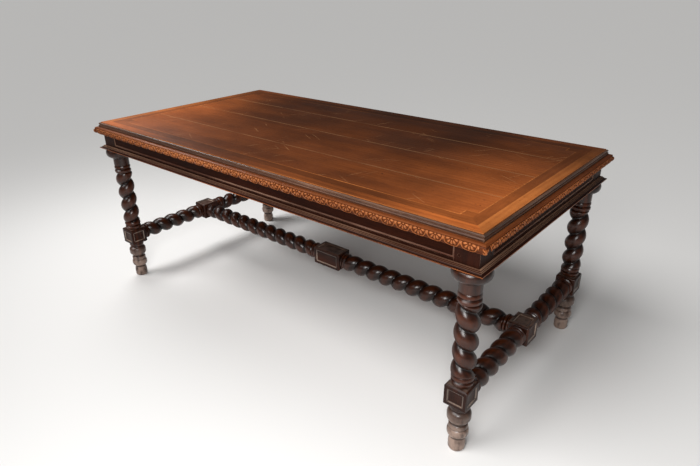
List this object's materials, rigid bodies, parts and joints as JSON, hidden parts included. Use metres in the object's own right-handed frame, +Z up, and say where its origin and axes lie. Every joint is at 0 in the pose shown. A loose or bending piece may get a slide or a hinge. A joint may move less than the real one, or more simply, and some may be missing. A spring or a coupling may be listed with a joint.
{
  "type": "table",
  "caption": "Long rectangular dining table with a framed plank top, carved edge, panelled apron, barley-twist legs on turned feet and a twisted H stretcher.",
  "frame": {"origin": "on the floor, under the middle of the top", "axes": "+X along the table to the right as seen from its front, +Y across it to the back, +Z up"},
  "size_m": [1.914, 0.984, 0.76],
  "materials": {
    "plank_walnut": "satin wax polish, worn",
    "border_walnut": "satin wax polish, worn",
    "band_walnut": "satin wax polish, worn",
    "string_wood": "satin wax polish",
    "carved_walnut": "wax polish with darker hollows",
    "apron_walnut": "dark stain, satin polish",
    "moulding_walnut": "dark stain, satin polish, rubbed edges",
    "turned_walnut": "dark stain, gloss polish",
    "inner_wood": "bare wood",
    "peg_wood": "dark stain",
    "screw_steel": "dull"
  },
  "bodies": {
    "root": {"apron_pegs": "peg_wood", "apron_rail_back": "apron_walnut", "apron_rail_front": "apron_walnut", "apron_rail_left": "apron_walnut", "apron_rail_right": "apron_walnut", "band_corners": "band_walnut", "base_moulding_back": "moulding_walnut", "base_moulding_front": "moulding_walnut", "base_moulding_left": "moulding_walnut", "base_moulding_right": "moulding_walnut", "button_screws": "screw_steel", "capital_back_left": "turned_walnut", "capital_back_right": "turned_walnut", "capital_front_left": "turned_walnut", "capital_front_right": "turned_walnut", "carved_strip_back": "carved_walnut", "carved_strip_front": "carved_walnut", "carved_strip_left": "carved_walnut", "carved_strip_right": "carved_walnut", "centre_stretcher": "turned_walnut", "cross_bearer_left": "inner_wood", "cross_bearer_right": "inner_wood", "end_stretcher_left": "turned_walnut", "end_stretcher_right": "turned_walnut", "field_plank_1": "plank_walnut", "field_plank_2": "plank_walnut", "field_plank_3": "plank_walnut", "field_plank_4": "plank_walnut", "leg_back_left": "turned_walnut", "leg_back_right": "turned_walnut", "leg_front_left": "turned_walnut", "leg_front_right": "turned_walnut", "panel_bead_back": "moulding_walnut", "panel_bead_front": "moulding_walnut", "panel_bead_left": "moulding_walnut", "panel_bead_right": "moulding_walnut", "post_back_left": "apron_walnut", "post_back_right": "apron_walnut", "post_front_left": "apron_walnut", "post_front_right": "apron_walnut", "stretcher_pegs": "peg_wood", "string_line": "string_wood", "top_band_back": "band_walnut", "top_band_front": "band_walnut", "top_band_left": "band_walnut", "top_band_right": "band_walnut", "top_border_back": "border_walnut", "top_border_front": "border_walnut", "top_border_left": "border_walnut", "top_border_right": "border_walnut", "top_buttons": "inner_wood"}
  },
  "joints": []
}
